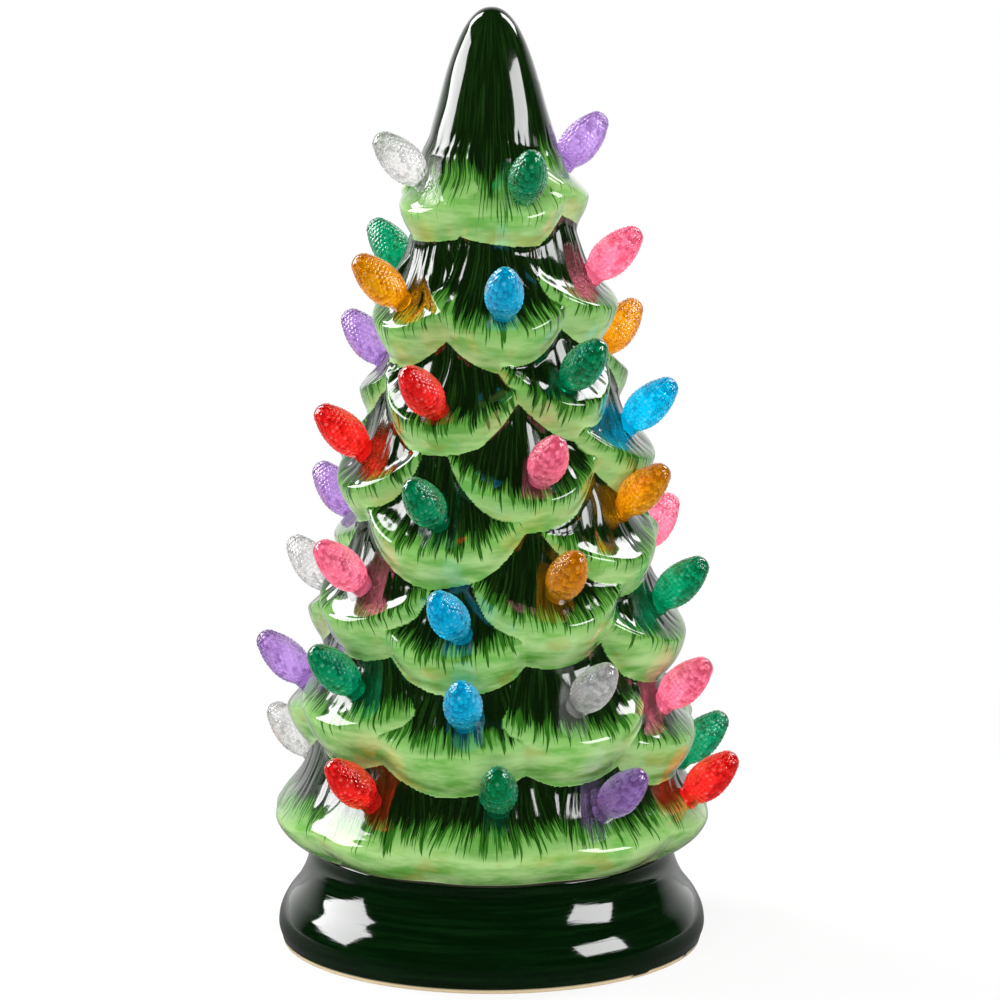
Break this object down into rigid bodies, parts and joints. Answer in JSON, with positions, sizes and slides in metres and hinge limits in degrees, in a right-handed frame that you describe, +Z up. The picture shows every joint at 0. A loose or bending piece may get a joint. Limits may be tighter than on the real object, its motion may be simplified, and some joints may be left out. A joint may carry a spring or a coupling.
{
  "type": "ceramic christmas tree",
  "caption": "Tabletop ceramic tree with flared boughs and coloured plug-in bulbs, lifting off a flared glazed base that holds its cells, switch and lamps.",
  "frame": {"origin": "centre of the foot ring on the surface that the base stands on", "axes": "+Z up through the tip, front of the tree towards -Y, +X to the viewer's right"},
  "size_m": [0.1179, 0.1174, 0.229],
  "materials": {
    "tree_glaze": "dark green glaze brushed over pale green hems, very glossy",
    "base_glaze": "dark bottle green glaze, very glossy, bare cream clay at the foot",
    "red_bulb_plastic": "tinted clear plastic, pebbled",
    "green_bulb_plastic": "tinted clear plastic, pebbled",
    "blue_bulb_plastic": "tinted clear plastic, pebbled",
    "amber_bulb_plastic": "tinted clear plastic, pebbled",
    "pink_bulb_plastic": "tinted clear plastic, pebbled",
    "purple_bulb_plastic": "tinted clear plastic, pebbled",
    "clear_bulb_plastic": "clear plastic, pebbled",
    "tray_plastic": "black moulded plastic, fine spark texture",
    "door_plastic": "black moulded plastic, fine spark texture",
    "sealant": "white silicone",
    "cell_jacket": "printed steel can, plain",
    "contact_nickel": "nickel plated spring strip",
    "switch_plastic": "moulded plastic",
    "knob_plastic": "moulded plastic",
    "board_laminate": "glass laminate with green solder resist",
    "screw_steel": "zinc plated",
    "lamp_lens": "clear epoxy",
    "red_insulation": "wire insulation",
    "black_insulation": "wire insulation"
  },
  "bodies": {
    "base": {"base_shell": "base_glaze", "battery_tray": "tray_plastic", "tray_sealant": "sealant", "battery_1": "cell_jacket", "battery_2": "cell_jacket", "battery_3": "cell_jacket", "negative_terminal": "contact_nickel", "positive_terminal": "contact_nickel", "series_link_left": "contact_nickel", "series_link_right": "contact_nickel", "switch_body": "switch_plastic", "led_board": "board_laminate", "board_screws": "screw_steel", "led_1": "lamp_lens", "led_2": "lamp_lens", "led_3": "lamp_lens", "positive_wire": "red_insulation", "negative_wire": "black_insulation", "switch_wire": "red_insulation"},
    "tree": {"tree_shell": "tree_glaze", "red_bulbs": "red_bulb_plastic", "green_bulbs": "green_bulb_plastic", "blue_bulbs": "blue_bulb_plastic", "amber_bulbs": "amber_bulb_plastic", "pink_bulbs": "pink_bulb_plastic", "purple_bulbs": "purple_bulb_plastic", "clear_bulbs": "clear_bulb_plastic"},
    "door": {"battery_door": "door_plastic"},
    "switch": {"switch_slider": "knob_plastic"}
  },
  "joints": [
    {"name": "tree_lift", "type": "slide", "parent": "base", "child": "tree", "axis": [0, 0, 1], "range_m": [0, 0.06]},
    {"name": "battery_door_hinge", "type": "hinge", "parent": "base", "child": "door", "pos_m": [0, -0.0152, 0.0042], "axis": [-1, 0, 0], "range_deg": [0, 100]},
    {"name": "switch_slide", "type": "slide", "parent": "base", "child": "switch", "axis": [1, 0, 0], "range_m": [0, 0.003]}
  ]
}
